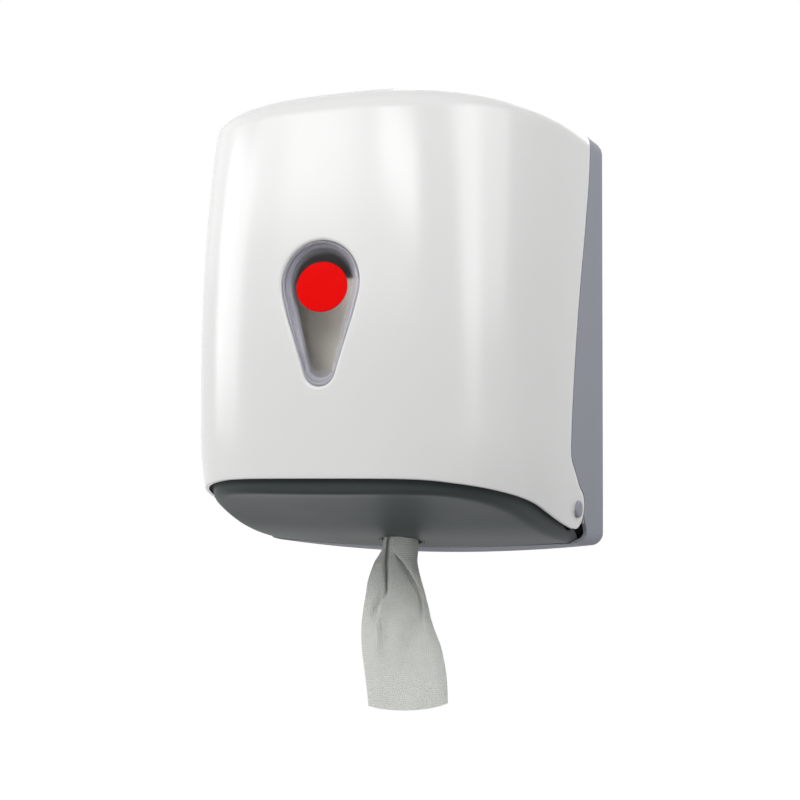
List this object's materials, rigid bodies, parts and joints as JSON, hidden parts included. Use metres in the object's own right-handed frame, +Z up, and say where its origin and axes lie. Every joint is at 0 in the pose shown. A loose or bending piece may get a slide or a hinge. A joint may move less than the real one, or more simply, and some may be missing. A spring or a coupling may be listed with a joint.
{
  "type": "centrefeed roll dispenser",
  "caption": "Wall-mounted centrefeed paper roll dispenser with a hinged, lockable white cover, a drop-shaped window and a sheet of paper hanging from its outlet.",
  "frame": {"origin": "on the wall face of the housing, on the centre line, level with the two lower corners of the back", "axes": "+Z up, +Y into the wall, the front faces -Y, +X to the right of someone facing the dispenser"},
  "size_m": [0.284, 0.225, 0.4649],
  "materials": {
    "cover_plastic": "smooth glossy white moulded plastic",
    "housing_plastic": "satin blue-grey moulded plastic",
    "tray_plastic": "satin dark grey moulded plastic",
    "clear_plastic": "clear polished plastic",
    "red_film": "plain red self-adhesive film",
    "steel": "zinc-plated steel",
    "lock_chrome": "plated zinc die casting",
    "paper": "soft embossed off-white tissue"
  },
  "bodies": {
    "wall_body": {"rear_housing": "housing_plastic", "bottom_tray": "tray_plastic", "outlet_nozzle": "tray_plastic", "hinge_pin_right": "housing_plastic", "hinge_pin_left": "housing_plastic", "pin_clip_right": "steel", "pin_clip_left": "steel", "tray_screw_1": "steel", "tray_screw_2": "steel", "tray_screw_3": "steel", "tray_screw_4": "steel", "lock_strike": "steel", "strike_screw_lower": "steel", "strike_screw_upper": "steel", "paper_roll": "paper", "paper_tail": "paper"},
    "cover": {"front_cover": "cover_plastic", "window_lens": "clear_plastic", "window_badge": "red_film", "lock_barrel": "lock_chrome", "lock_washer": "steel", "lock_nut": "steel"},
    "lock": {"lock_plug": "lock_chrome", "lock_cam": "steel", "cam_screw": "steel"}
  },
  "joints": [
    {"name": "cover_hinge", "type": "hinge", "parent": "wall_body", "child": "cover", "pos_m": [0, -0.06149, 0.03039], "axis": [1, 0, 0], "range_deg": [0, 90]},
    {"name": "lock_turn", "type": "hinge", "parent": "cover", "child": "lock", "pos_m": [0, -0.052, 0.334], "axis": [0, 0, -1], "range_deg": [0, 90]}
  ]
}
